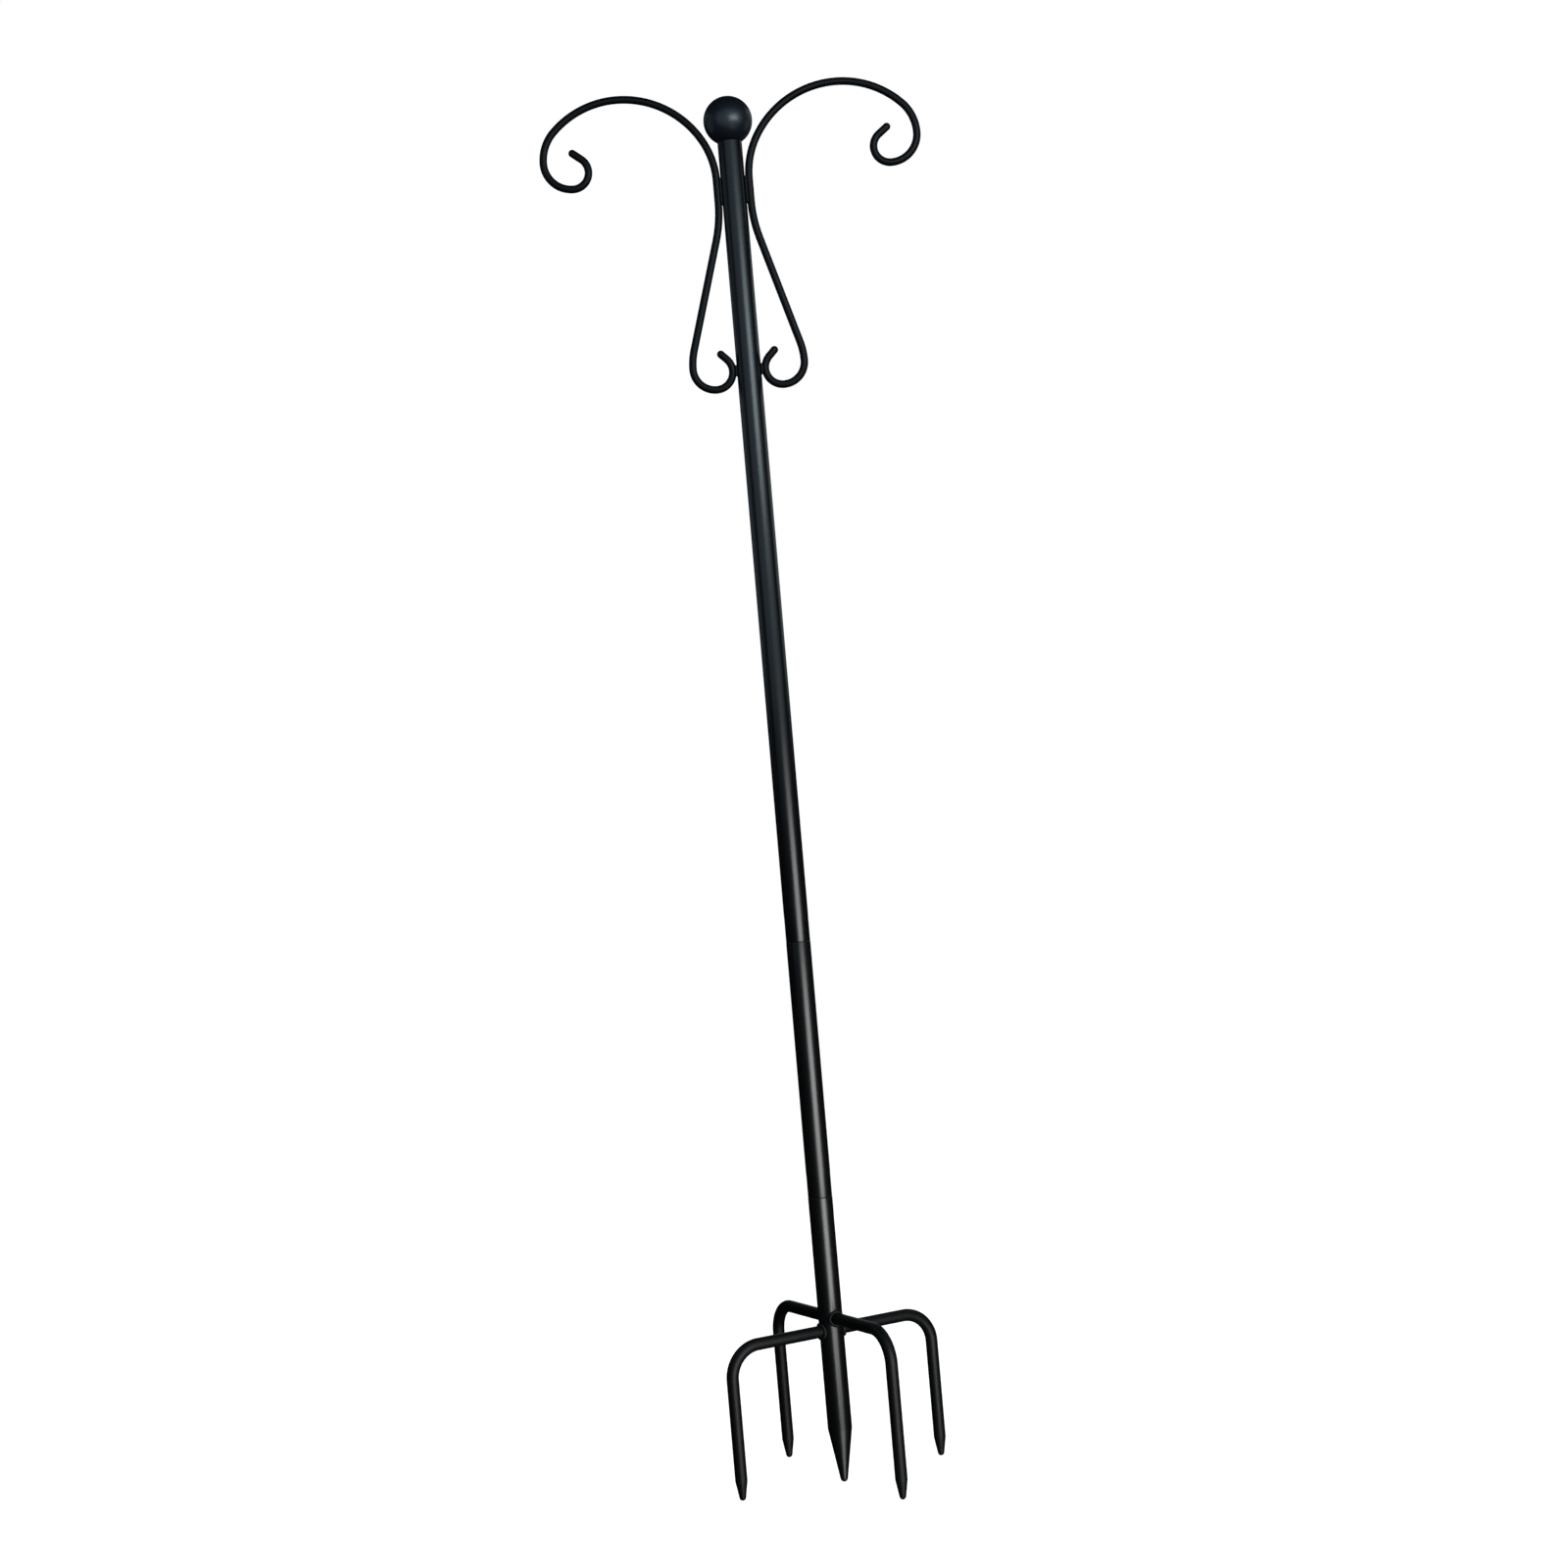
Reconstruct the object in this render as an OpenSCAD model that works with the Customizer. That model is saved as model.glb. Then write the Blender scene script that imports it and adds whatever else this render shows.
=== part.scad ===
// Bird feeder pole with two scroll hooks, a ball finial and a five-point ground base.
// Millimetres. +Z is up, and z = 0 is the ground line: the underside of the lower prong bar,
// where the base stops when it has been pressed fully into the soil. The pole stands on the
// Z axis and the two hooks reach out along X.

/* [Pole] */
// Outside diameter of the three pole tubes
pole_d = 25.4; // [20:0.1:32]
// Wall thickness of the pole tubes
pole_wall = 1.5; // [1.2:0.1:2]
// Height of the stake tube's rim above the ground line
stake_rise = 145; // [90:1:220]
// Length of the middle tube
middle_len = 266; // [180:1:400]
// Length of the head tube, from its lower end to the rim below the finial
head_len = 833; // [600:1:1200]

/* [Tube joints] */
// Length of the drawn-in band at the lower end of the middle and head tubes
band_len = 27; // [18:1:40]
// How far the band is drawn in, all round
band_draw = 0.15; // [0.1:0.05:0.3]
// Length of the slope at the band's upper end
band_ramp = 3; // [1:0.5:6]
// Depth to which a connector stands in the tube below it
spigot_len = 40; // [25:1:60]
// Length of a connector's head above the band that holds it
grip_len = 14; // [8:1:30]
// Wall thickness of a connector
connector_wall = 1.6; // [1.2:0.1:2.5]
// Chamfer on the rims of the tubes and connectors
rim_chamfer = 0.4; // [0.2:0.1:0.6]

/* [Ground base] */
// Diameter of the prong rods
prong_d = 12.7; // [8:0.1:16]
// Distance between the legs of one prong rod, axis to axis
prong_span = 238; // [180:1:320]
// Depth of the prong tips below the ground line
prong_depth = 148; // [110:1:220]
// Bend radius of the prong rods, on the rod's axis
prong_bend = 32; // [24:1:42]
// Length of a prong's point
prong_point_len = 20; // [14:1:30]
// Rounding radius of a prong's tip
prong_nose = 3.5; // [2:0.25:3.75]
// Angle from the hooks to the lower prong bar, seen from above
base_turn = 28.5; // [0:0.5:89]
// How much deeper the stake's tip reaches than the prongs
stake_lead = 4; // [0:1:40]
// Length of the stake's solid point
point_len = 56; // [40:1:80]
// Rounding radius of the stake's tip
point_nose = 4; // [2:0.5:6]
// Length of the point's spigot inside the stake tube
point_grip = 30; // [15:1:45]

/* [Scroll hooks] */
// Diameter of the hook rods
hook_rod_d = 8; // [6:0.5:10]
// Distance from the head tube's top rim down to the top of the straight that is welded to it
waist_drop = 39; // [25:0.5:80]
// Length of the straight that is welded to the tube
waist_len = 23; // [12:0.5:60]
// Radius of the rise above the waist
rise_r = 86; // [70:1:110]
// Turn of the rise
rise_turn = 30; // [20:1:40]
// Radius from the rise to the crest
shoulder_r = 99; // [80:1:120]
// Radius from the crest outwards
crest_r = 95; // [80:1:120]
// Turn of the crest before the curve tightens
crest_turn = 45; // [35:1:55]
// Radius of the outer end of the arch
outer_r = 45; // [35:1:60]
// Radius of the hook's bowl
bowl_r = 29; // [24:0.5:36]
// Radius of the curl that closes the hook
curl_r = 17; // [14:0.5:22]
// Turn of the curl
curl_turn = 142; // [110:1:150]
// Length of the straight tip after the curl
hook_tip_len = 11; // [4:0.5:14]

/* [Lower scrolls] */
// Radius of the sweep that leaves the waist
sweep_r = 140; // [100:1:180]
// Turn of the sweep
sweep_turn = 16.3; // [14:0.1:20]
// Radius of the bend that brings the scroll back to vertical
return_r = 70; // [50:1:90]
// Radius of the scroll's foot
foot_r = 23; // [20:0.5:30]
// Radius of the scroll's curl, which comes back to the tube
foot_curl_r = 18; // [15:0.5:22]
// Turn of the scroll past the place where it meets the tube
foot_tip_turn = 45; // [30:1:70]
// Length of the straight tip after that turn
foot_tip_len = 8; // [4:0.5:12]

/* [Finial] */
// Diameter of the ball
ball_d = 50.8; // [42:0.1:64]
// Diameter of the threaded stud
stud_d = 8; // [6:0.5:10]
// Depth of the stud's thread in the tube's insert
stud_grip = 10; // [6:1:14]
// Depth of the stud in the ball
stud_seat = 18; // [10:1:24]
// Thickness of the threaded insert in the tube's top
insert_len = 18; // [16:1:30]

/* [Welds] */
// Radius of the beads that hold the hook rods to the tube
rod_bead = 5; // [4:0.25:6]
// Length of the bead at a lower scroll
curl_bead_len = 14; // [11:1:20]
// Width of the fillet round a prong bar where it leaves the tube
bar_fillet = 3; // [2:0.25:4]

/* [Clearances] */
// Radial clearance of a connector in the bore of the tube below
slide_clear = 0.08; // [0.04:0.01:0.1]
// Radial clearance of a connector in the tube that turns on it
turn_clear = 0.05; // [0.03:0.01:0.08]
// End clearance between a connector's shoulders and the band between them
shoulder_clear = 0.3; // [0.2:0.05:0.5]
// Radial clearance of the stud in the insert and in the ball
stud_clear = 0.05; // [0.03:0.01:0.1]
// Radial clearance of a prong bar in its cross holes
bar_clear = 0.15; // [0.1:0.05:0.3]
// Gap between parts that a weld joins
weld_gap = 0.3; // [0.2:0.05:0.5]

/* [Hidden] */
$fn = 64;
// Sides of the round shapes that cut a small weld, where 64 would be coarse
weld_fn = 180;

powder_black = [0.07, 0.08, 0.09];
zinc_grey = [0.62, 0.63, 0.64];
// How far a cutting solid runs past what it cuts
cut_extra = 1;
// How much the balls in the joints of a rod stand proud of it
joint_lift = 0.03;

pole_r = pole_d / 2;
bore_r = pole_r - pole_wall;
prong_r = prong_d / 2;
hook_rod_r = hook_rod_d / 2;
ball_r = ball_d / 2;
stud_r = stud_d / 2;

// Heights on the pole
lower_seam = stake_rise;
upper_seam = lower_seam + middle_len;
pole_top = upper_seam + head_len;
ball_z = pole_top + sqrt(ball_r * ball_r - pole_r * pole_r);
stake_tip = -(prong_depth + stake_lead);
point_top = stake_tip + point_len;
lower_bar_z = prong_r;
upper_bar_z = lower_bar_z + prong_d + weld_gap;

// Places on the hooks
hook_x = pole_r + weld_gap + hook_rod_r;
waist_top = pole_top - waist_drop;
waist_bottom = waist_top - waist_len;
bead_x = pole_r + weld_gap / 2;

// The long straight of a lower scroll: just long enough to bring its curl back to the tube
scroll_straight = (foot_r + foot_curl_r - (sweep_r + return_r) * (1 - cos(sweep_turn)))
    / sin(sweep_turn);
scroll_touch_z = waist_bottom - (sweep_r + return_r) * sin(sweep_turn)
    - scroll_straight * cos(sweep_turn) - foot_r + foot_curl_r;

// A run of rod is a list of steps. [radius, turn] is a bend, outwards where turn is positive
// and back towards the pole where it is negative, and [length] is a straight.
hook_run = [
    [rise_r, rise_turn],
    [shoulder_r, 90 - rise_turn],
    [crest_r, crest_turn],
    [outer_r, 90 - crest_turn],
    [bowl_r, 90],
    [curl_r, curl_turn],
    [hook_tip_len]
];
scroll_run = [
    [sweep_r, sweep_turn],
    [scroll_straight],
    [return_r, -sweep_turn],
    [foot_r, -90],
    [foot_curl_r, -90 - foot_tip_turn],
    [foot_tip_len]
];

// A tube of the pole from bottom to top, with its lower end drawn in to a band
module banded_tube(bottom, top) {
    color(powder_black)
        rotate_extrude()
            polygon([
                [bore_r - band_draw, bottom],
                [pole_r - band_draw - rim_chamfer, bottom],
                [pole_r - band_draw, bottom + rim_chamfer],
                [pole_r - band_draw, bottom + band_len - band_ramp],
                [pole_r, bottom + band_len],
                [pole_r, top - rim_chamfer],
                [pole_r - rim_chamfer, top],
                [bore_r, top],
                [bore_r, bottom + band_len],
                [bore_r - band_draw, bottom + band_len - band_ramp]
            ]);
}

module middle_tube() {
    banded_tube(lower_seam, upper_seam);
}

module head_tube() {
    banded_tube(upper_seam, pole_top);
}

// The sleeve at a seam: a spigot in the tube below, a neck that the band of the tube above
// closes on, and a head that keeps it in that tube while the tube turns on it
module connector(seam) {
    spigot_r = bore_r - slide_clear;
    neck_r = bore_r - band_draw - turn_clear;
    head_r = bore_r - turn_clear;
    inner_r = bore_r - band_draw - turn_clear - connector_wall;
    neck_end = seam + band_len - band_ramp;
    head_start = seam + band_len + shoulder_clear;
    head_end = head_start + grip_len;
    color(zinc_grey)
        rotate_extrude()
            polygon([
                [inner_r, seam - spigot_len],
                [spigot_r - rim_chamfer, seam - spigot_len],
                [spigot_r, seam - spigot_len + rim_chamfer],
                [spigot_r, seam - shoulder_clear],
                [neck_r, seam - shoulder_clear],
                [neck_r, neck_end],
                [head_r, head_start],
                [head_r, head_end - rim_chamfer],
                [head_r - rim_chamfer, head_end],
                [inner_r, head_end]
            ]);
}

// A cone that ends in a round nose, from radius r at z = 0 down to its tip at z = -len
module blunt_point(r, len, nose) {
    centre_drop = len - nose;
    slope = atan2(r, centre_drop) - asin(nose / norm([r, centre_drop]));
    touch_z = -centre_drop - nose * sin(slope);
    translate([0, 0, touch_z])
        cylinder(h = -touch_z, r1 = nose * cos(slope), r2 = r);
    translate([0, 0, -centre_drop])
        sphere(nose);
}

module stake_tube() {
    color(powder_black)
        difference() {
            rotate_extrude()
                polygon([
                    [bore_r, point_top],
                    [pole_r, point_top],
                    [pole_r, lower_seam - rim_chamfer],
                    [pole_r - rim_chamfer, lower_seam],
                    [bore_r, lower_seam]
                ]);
            cross_hole(base_turn, lower_bar_z);
            cross_hole(base_turn - 90, upper_bar_z);
        }
}

module cross_hole(turn, bar_z) {
    length = pole_d + 2 * cut_extra;
    rotate([0, 0, turn])
        translate([-length / 2, 0, bar_z])
            rotate([0, 90, 0])
                cylinder(h = length, r = prong_r + bar_clear);
}

module stake_point() {
    color(powder_black)
        translate([0, 0, point_top]) {
            blunt_point(pole_r, point_len, point_nose);
            cylinder(h = point_grip, r = bore_r);
        }
}

// A bar across the pole with a bend and a pointed leg at each end
module prong_rod(turn, bar_z) {
    color(powder_black)
        rotate([0, 0, turn]) {
            bar_half = prong_span / 2 - prong_bend;
            translate([-bar_half, 0, bar_z])
                rotate([0, 90, 0])
                    cylinder(h = 2 * bar_half, r = prong_r);
            for (side = [0, 180])
                rotate([0, 0, side])
                    prong_leg(bar_half, bar_z);
        }
}

module prong_leg(bar_half, bar_z) {
    bend_z = bar_z - prong_bend;
    point_z = -prong_depth + prong_point_len;
    translate([bar_half, 0, bend_z])
        rotate([90, 0, 0])
            rotate_extrude(angle = 90)
                translate([prong_bend, 0])
                    circle(prong_r);
    translate([prong_span / 2, 0, point_z])
        cylinder(h = bend_z - point_z, r = prong_r);
    translate([prong_span / 2, 0, point_z])
        blunt_point(prong_r, prong_point_len, prong_nose);
}

// The fillet round a prong bar where it leaves the tube
module bar_weld(turn, bar_z) {
    inner_x = sqrt(pole_r * pole_r - pow(prong_r + bar_fillet, 2));
    outer_x = pole_r + bar_fillet;
    color(powder_black)
        rotate([0, 0, turn])
            translate([0, 0, bar_z])
                difference() {
                    translate([inner_x, 0, 0])
                        rotate([0, 90, 0])
                            cylinder(h = outer_x - inner_x, r1 = prong_r + bar_fillet,
                                r2 = prong_r + weld_gap);
                    rotate([0, 90, 0])
                        cylinder(h = outer_x + cut_extra, r = prong_r);
                    cylinder(h = 4 * prong_d, r = pole_r, center = true);
                }
}

// Rod along the steps of a run, starting at the origin towards +Y. Outwards is +X.
// A ball closes the joint before each step, and rounds the end after the last one.
module rod_run(run, index = 0) {
    sphere(hook_rod_r + joint_lift);
    if (index < len(run)) {
        step = run[index];
        if (len(step) == 1) {
            rotate([-90, 0, 0])
                cylinder(h = step[0], r = hook_rod_r);
            translate([0, step[0], 0])
                rod_run(run, index + 1);
        } else {
            side = sign(step[1]);
            turn = abs(step[1]);
            translate([side * step[0], 0, 0]) {
                rotate_extrude(angle = turn, start = side > 0 ? 180 - turn : 0)
                    translate([step[0], 0])
                        circle(hook_rod_r);
                rotate([0, 0, -side * turn])
                    translate([-side * step[0], 0, 0])
                        rod_run(run, index + 1);
            }
        }
    }
}

// One hook: up from the waist to the hook's curl, and down from it to the lower scroll
module scroll_arm(side) {
    color(powder_black)
        rotate([0, 0, side > 0 ? 0 : 180])
            translate([hook_x, 0, 0]) {
                translate([0, 0, waist_top])
                    rotate([90, 0, 0])
                        rod_run(hook_run);
                translate([0, 0, waist_bottom])
                    cylinder(h = waist_len, r = hook_rod_r);
                translate([0, 0, waist_bottom])
                    rotate([-90, 0, 0])
                        rod_run(scroll_run);
            }
}

// A round-ended bead in the groove between a hook rod and the tube, centred on z
module rod_weld(side, z, length) {
    $fn = weld_fn;
    straight = length - 2 * rod_bead;
    color(powder_black)
        difference() {
            translate([side * bead_x, 0, z - straight / 2]) {
                cylinder(h = straight, r = rod_bead);
                sphere(rod_bead);
                translate([0, 0, straight])
                    sphere(rod_bead);
            }
            translate([0, 0, z - length])
                cylinder(h = 2 * length, r = pole_r);
            scroll_arm(side);
        }
}

module waist_weld(side) {
    rod_weld(side, waist_top - waist_len / 2, waist_len + rod_bead);
}

module scroll_weld(side) {
    rod_weld(side, scroll_touch_z, curl_bead_len);
}

module top_insert() {
    color(zinc_grey)
        translate([0, 0, pole_top - insert_len])
            difference() {
                cylinder(h = insert_len, r = bore_r);
                translate([0, 0, -cut_extra])
                    cylinder(h = insert_len + 2 * cut_extra, r = stud_r + stud_clear);
            }
}

module finial_stud() {
    color(zinc_grey)
        translate([0, 0, pole_top - stud_grip])
            cylinder(h = stud_grip + stud_seat, r = stud_r);
}

module finial_ball() {
    color(powder_black)
        difference() {
            translate([0, 0, ball_z])
                sphere(ball_r);
            translate([0, 0, pole_top - ball_d])
                cylinder(h = ball_d, r = ball_r);
            translate([0, 0, pole_top - cut_extra])
                cylinder(h = stud_seat + shoulder_clear + cut_extra, r = stud_r + stud_clear);
        }
}

stake_tube();
stake_point();
prong_rod(base_turn, lower_bar_z);  // lower_prong_rod
prong_rod(base_turn - 90, upper_bar_z);  // upper_prong_rod
bar_weld(base_turn + 180, lower_bar_z);  // lower_left_weld
bar_weld(base_turn, lower_bar_z);  // lower_right_weld
bar_weld(base_turn + 90, upper_bar_z);  // upper_left_weld
bar_weld(base_turn - 90, upper_bar_z);  // upper_right_weld
connector(lower_seam);  // lower_connector
middle_tube();
connector(upper_seam);  // upper_connector
head_tube();
scroll_arm(-1);  // left_arm
scroll_arm(1);  // right_arm
waist_weld(-1);  // left_waist_weld
waist_weld(1);  // right_waist_weld
scroll_weld(-1);  // left_scroll_weld
scroll_weld(1);  // right_scroll_weld
top_insert();
finial_stud();
finial_ball();
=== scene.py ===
"""Looks of a bird feeder pole: coated tubes, hook rods, weld beads, a ball finial and ground prongs.

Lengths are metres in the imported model's frame: +Z is up, z = 0 is the ground line, and the hooks lie
along X.
"""

import logging
import math
from dataclasses import dataclass
from enum import Enum
from typing import Any, Sequence

import bmesh
import bpy
from mathutils import Matrix, Vector


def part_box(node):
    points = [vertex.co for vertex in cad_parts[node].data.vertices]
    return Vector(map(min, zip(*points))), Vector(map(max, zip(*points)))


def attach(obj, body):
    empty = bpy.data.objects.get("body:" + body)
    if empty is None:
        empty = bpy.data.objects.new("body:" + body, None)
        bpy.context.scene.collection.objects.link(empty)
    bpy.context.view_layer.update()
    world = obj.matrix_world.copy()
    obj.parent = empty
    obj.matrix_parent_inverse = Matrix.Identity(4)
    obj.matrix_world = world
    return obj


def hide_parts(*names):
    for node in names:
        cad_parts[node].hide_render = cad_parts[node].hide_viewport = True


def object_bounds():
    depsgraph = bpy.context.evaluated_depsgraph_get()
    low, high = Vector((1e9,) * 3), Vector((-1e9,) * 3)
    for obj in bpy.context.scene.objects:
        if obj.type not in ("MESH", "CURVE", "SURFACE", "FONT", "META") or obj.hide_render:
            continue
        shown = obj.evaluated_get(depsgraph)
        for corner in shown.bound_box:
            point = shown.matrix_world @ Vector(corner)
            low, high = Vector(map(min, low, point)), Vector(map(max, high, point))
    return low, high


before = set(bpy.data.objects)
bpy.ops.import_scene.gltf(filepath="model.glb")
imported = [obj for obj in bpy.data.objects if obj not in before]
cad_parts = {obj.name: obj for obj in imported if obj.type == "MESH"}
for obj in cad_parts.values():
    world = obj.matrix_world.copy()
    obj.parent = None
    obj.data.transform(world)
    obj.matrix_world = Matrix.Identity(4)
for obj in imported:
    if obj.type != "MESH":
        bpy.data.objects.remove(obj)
CAD_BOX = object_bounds()

MM = 0.001
TINY = 1e-9
UP = Vector((0, 0, 1))
PLANE_NORMAL = Vector((0, 1, 0))
QUARTER = math.radians(90)
CREASE = math.radians(30)
MERGE_WITHIN = 0.0004 * MM
# All three tubes have this wall, and rims that are drawn in this far and rounded this much.
TUBE_WALL = 1.5 * MM
TUBE_RIM = 0.4 * MM
TUBE_EDGE = 0.15 * MM
Piece = bpy.types.Object
Outline = list[tuple[float, float]]
Colour = tuple[float, float, float]
log = logging.getLogger("feeder_pole")


class Slot(Enum):
    """The record's material slots."""

    POWDER = "powder_black"
    FINIAL = "finial_black"
    WELD = "weld_black"
    ZINC = "zinc_steel"


class Body(Enum):
    """The rigid bodies that pieces ride on."""

    BASE = "ground_base"
    LOWER_JOINT = "lower_joint"
    MIDDLE = "middle_pole"
    UPPER_JOINT = "upper_joint"
    HEAD = "head"
    SCREW = "finial_screw"
    FINIAL = "finial"


class Look(Enum):
    """The finishes. Rods and beads have a flatter coat than the tubes."""

    TUBE = "tube_coat"
    ROD = "rod_coat"
    BEAD = "bead_coat"
    BALL = "ball_coat"
    ZINC = "zinc_plate"


class Side(Enum):
    """Which way a hook reaches or a bar leaves the tube, as a turn about the pole in degrees."""

    RIGHT = 0.0
    LEFT = 180.0


# ---- shader maths


class Term:
    """A shader value that Python's operators turn into Math nodes."""

    def __init__(self, sheet: "NodeSheet", socket: bpy.types.NodeSocket) -> None:
        """Wraps one output socket of a node sheet."""
        self.sheet = sheet
        self.socket = socket

    def maths(self, operation: str, first: Any, second: Any) -> "Term":
        """Adds one Math node to two values, each a Term or a number."""
        return self.sheet.term("ShaderNodeMath", {"operation": operation}, {0: first, 1: second})

    def __add__(self, other: Any) -> "Term":
        """This value plus another."""
        return self.maths("ADD", self, other)

    def __radd__(self, other: Any) -> "Term":
        """A number plus this value."""
        return self.maths("ADD", other, self)

    def __sub__(self, other: Any) -> "Term":
        """This value less another."""
        return self.maths("SUBTRACT", self, other)

    def __rsub__(self, other: Any) -> "Term":
        """A number less this value."""
        return self.maths("SUBTRACT", other, self)

    def __mul__(self, other: Any) -> "Term":
        """This value times another."""
        return self.maths("MULTIPLY", self, other)

    def __rmul__(self, other: Any) -> "Term":
        """A number times this value."""
        return self.maths("MULTIPLY", other, self)


class NodeSheet:
    """The nodes of a material or of the world."""

    def __init__(self, owner: bpy.types.Material | bpy.types.World) -> None:
        """Starts the owner's nodes afresh.

        Args:
            owner: The material or the world.
        """
        owner.use_nodes = True
        self.tree = owner.node_tree
        self.tree.nodes.clear()

    def node(self, kind: str, settings: dict[str, Any], inputs: dict[Any, Any]) -> bpy.types.Node:
        """Adds a node, sets its properties first and then its sockets.

        Args:
            kind: The node's type.
            settings: Its properties by name.
            inputs: A value or a Term for each socket, by name or number.

        Returns:
            The new node.
        """
        made = self.tree.nodes.new(kind)
        for key, value in settings.items():
            setattr(made, key, value)
        self.feed(made, inputs)
        return made

    def feed(self, target: bpy.types.Node, inputs: dict[Any, Any]) -> None:
        """Sets or links a node's sockets.

        Args:
            target: The node.
            inputs: A value or a Term for each socket, by name or number.
        """
        for key, value in inputs.items():
            if isinstance(value, Term):
                self.tree.links.new(value.socket, target.inputs[key])
            else:
                target.inputs[key].default_value = value

    def term(self, kind: str, settings: dict[str, Any], inputs: dict[Any, Any], output: Any = 0) -> Term:
        """Adds a node as node() does, and gives one of its outputs by name or number."""
        return Term(self, self.node(kind, settings, inputs).outputs[output])

    def place(self, stretch: tuple[float, float, float] = (1, 1, 1)) -> Term:
        """Object coordinates, scaled along each axis for a stretched pattern."""
        plain = self.term("ShaderNodeTexCoord", {}, {}, "Object")
        return self.term("ShaderNodeMapping", {}, {"Vector": plain, "Scale": stretch})

    def noise(self, where: Term, scale: float, detail: float) -> Term:
        """Noise from 0 to 1, with its scale in features per metre and its detail in octaves."""
        inputs = {"Vector": where, "Scale": scale, "Detail": detail}
        return self.term("ShaderNodeTexNoise", {}, inputs, "Fac")

    def relief(self, height: Term) -> Term:
        """The normal of a surface that is raised by a height in metres."""
        inputs = {"Strength": 1.0, "Distance": 1.0, "Height": height}
        return self.term("ShaderNodeBump", {}, inputs, "Normal")

    def blend(self, share: Any, first: Colour, second: Colour) -> Term:
        """A colour between two, from all of the first at a share of 0 to all of the second at 1."""
        inputs = {0: share, 6: (*first, 1), 7: (*second, 1)}
        return self.term("ShaderNodeMix", {"data_type": "RGBA"}, inputs, 2)


class CoatSheet(NodeSheet):
    """The nodes of a new material, ending in a Principled shader."""

    def __init__(self, name: str) -> None:
        """Makes the material with a shader and an output.

        Args:
            name: The material's name.
        """
        self.material = bpy.data.materials.new(name)
        super().__init__(self.material)
        self.shader = self.node("ShaderNodeBsdfPrincipled", {}, {})
        self.node("ShaderNodeOutputMaterial", {}, {"Surface": Term(self, self.shader.outputs["BSDF"])})


# ---- finishes


@dataclass(frozen=True)
class PowderCoat:
    """Baked powder coat: nearly black, semi-gloss, with the slight ripple called orange peel.

    Attributes:
        name: The material's name.
        colour: The coat's colour where it is thick.
        thin_colour: Its colour where it is a little thinner.
        gloss: Roughness of the surface.
        shine: Strength of its reflections, where 0.5 is that of plain lacquer.
        ripple: Size of the orange peel, in waves per metre.
        ripple_depth: Height of the orange peel.
        grain: Size of the fine grain on the ripple, in grains per metre.
        grain_depth: Height of the fine grain.
        cloud: Size of the patches where the coat is thinner, in patches per metre.
        unevenness: How far roughness changes from patch to patch.
    """

    name: str
    colour: Colour
    thin_colour: Colour
    gloss: float = 0.30
    shine: float = 0.5
    ripple: float = 620.0
    ripple_depth: float = 0.022 * MM
    grain: float = 5200.0
    grain_depth: float = 0.0015 * MM
    cloud: float = 27.0
    unevenness: float = 0.08

    def material(self) -> bpy.types.Material:
        """Makes the coat's material.

        Returns:
            The material.
        """
        sheet = CoatSheet(self.name)
        where = sheet.place()
        cloud = sheet.noise(where, self.cloud, detail=4.0)
        grain = sheet.noise(where, self.grain, detail=2.0)
        peel = sheet.noise(where, self.ripple, detail=1.5)
        relief = sheet.relief(peel * self.ripple_depth + grain * self.grain_depth)
        sheet.feed(sheet.shader, {
            "Base Color": sheet.blend((cloud + grain) * 0.5, self.colour, self.thin_colour),
            "Roughness": self.gloss + (cloud - 0.5) * self.unevenness,
            "Normal": relief,
            "Specular IOR Level": self.shine,
        })
        return sheet.material


@dataclass(frozen=True)
class ZincPlate:
    """Bright zinc plate on turned steel, with fine marks that run round the axis.

    Attributes:
        name: The material's name.
        colour: The bright colour.
        dull_colour: The colour where the plate has dulled.
        gloss: Roughness of the surface.
        stretch: Scale of the turning marks across the axis and along it, in marks per metre.
        mark_depth: Height of the turning marks.
        cloud: Size of the dull patches, in patches per metre.
        unevenness: How far roughness changes from place to place.
    """

    name: str
    colour: Colour = (0.44, 0.45, 0.46)
    dull_colour: Colour = (0.31, 0.32, 0.32)
    gloss: float = 0.42
    stretch: tuple[float, float, float] = (30.0, 30.0, 5200.0)
    mark_depth: float = 0.004 * MM
    cloud: float = 190.0
    unevenness: float = 0.12

    def material(self) -> bpy.types.Material:
        """Makes the plate's material.

        Returns:
            The material.
        """
        sheet = CoatSheet(self.name)
        cloud = sheet.noise(sheet.place(), self.cloud, detail=4.0)
        marks = sheet.noise(sheet.place(self.stretch), 1.0, detail=3.0)
        sheet.feed(sheet.shader, {
            "Base Color": sheet.blend(cloud, self.colour, self.dull_colour),
            "Roughness": self.gloss + (cloud + marks - 1.0) * self.unevenness,
            "Metallic": 1.0,
            "Normal": sheet.relief(marks * self.mark_depth),
        })
        return sheet.material


@dataclass(frozen=True)
class StudioPaper:
    """Plain pale paper for the floor.

    Attributes:
        name: The material's name.
        shade: Its brightness from 0 to 1.
        gloss: Roughness of the surface.
        glow: Light of its own, which keeps it as pale as what is behind it.
    """

    name: str = "studio_paper"
    shade: float = 0.80
    gloss: float = 0.9
    glow: float = 1.0

    def material(self) -> bpy.types.Material:
        """Makes the paper's material.

        Returns:
            The material.
        """
        sheet = CoatSheet(self.name)
        sheet.feed(sheet.shader, {
            "Base Color": (self.shade, self.shade, self.shade, 1),
            "Roughness": self.gloss,
            "Emission Color": (1, 1, 1, 1),
            "Emission Strength": self.glow,
        })
        return sheet.material


# ---- work bench


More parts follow.
